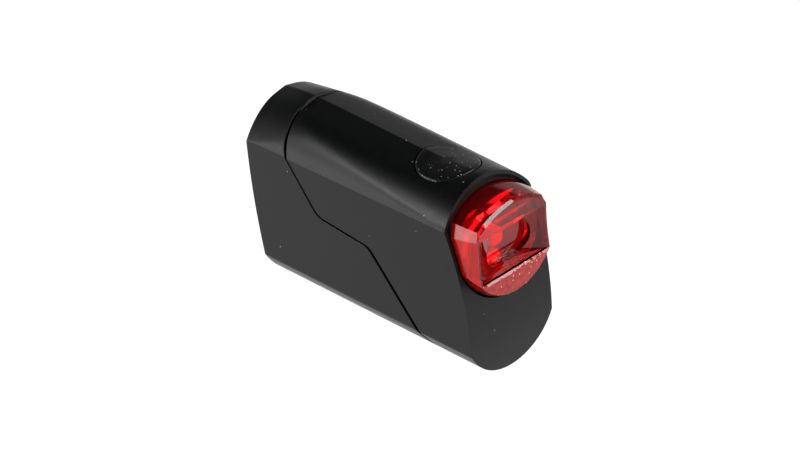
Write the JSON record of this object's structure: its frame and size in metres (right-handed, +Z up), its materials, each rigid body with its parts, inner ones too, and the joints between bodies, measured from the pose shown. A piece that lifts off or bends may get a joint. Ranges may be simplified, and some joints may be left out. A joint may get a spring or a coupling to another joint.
{
  "type": "bike rear light",
  "caption": "Battery rear light for a bicycle: arched black two-part shell with a zigzag seam, scooped red lens, round push button and a slot for a seat-post bracket.",
  "frame": {"origin": "middle of the flat bracket seat in the rear end of the battery cover", "axes": "+Y out of the bracket seat towards the seat post, -Y the way the lens faces, +Z up, +X to the right for someone who looks at the lens"},
  "size_m": [0.028, 0.0718, 0.0484],
  "materials": {
    "shell_abs": "fine moulded grain",
    "seal_rubber": "matt",
    "lens_acrylic": "polished red acrylic",
    "reflector_metal": "metallised",
    "led_epoxy": "clear moulded",
    "board_laminate": "solder mask",
    "pin_brass": "plated",
    "chip_resin": "matt moulded",
    "ferrite": "sintered",
    "can_aluminium": "drawn",
    "switch_nylon": "moulded",
    "plunger_acetal": "moulded",
    "button_abs": "coarse moulded grain",
    "carrier_abs": "moulded",
    "screw_steel": "zinc plated",
    "cell_sleeve": "shrink sleeve",
    "contact_nickel": "nickel plated",
    "lead_red": "smooth insulation",
    "lead_black": "smooth insulation"
  },
  "bodies": {
    "cover": {"battery_cover": "shell_abs"},
    "light_unit": {"lens_housing": "shell_abs", "cover_seal": "seal_rubber", "lens": "lens_acrylic", "lens_gasket": "seal_rubber", "reflector": "reflector_metal", "led": "led_epoxy", "led_board": "board_laminate", "board_link_pins": "pin_brass", "main_board": "board_laminate", "driver_chip": "chip_resin", "inductor": "ferrite", "capacitor": "can_aluminium", "resistors": "chip_resin", "switch_body": "switch_nylon", "battery_carrier": "carrier_abs", "carrier_screws": "screw_steel", "cell_left": "cell_sleeve", "cell_right": "cell_sleeve", "bridge_contact": "contact_nickel", "positive_contact": "contact_nickel", "negative_contact": "contact_nickel", "spring_rear": "contact_nickel", "spring_front": "contact_nickel", "lead_positive": "lead_red", "lead_negative": "lead_black"},
    "button": {"button_cap": "button_abs"},
    "plunger": {"switch_plunger": "plunger_acetal"}
  },
  "joints": [
    {"name": "unit_pull", "type": "slide", "parent": "cover", "child": "light_unit", "axis": [0, -1, 0], "range_m": [0, 0.06]},
    {"name": "button_press", "type": "slide", "parent": "light_unit", "child": "button", "axis": [0, 0, -1], "range_m": [0, 0.0005], "stiffness_N_per_m": 2500},
    {"name": "plunger_press", "type": "slide", "parent": "light_unit", "child": "plunger", "axis": [0, 0, -1], "range_m": [0, 0.0006]}
  ],
  "couplings": [
    {"joint": "plunger_press", "follows": "button_press", "ratio": 1}
  ]
}
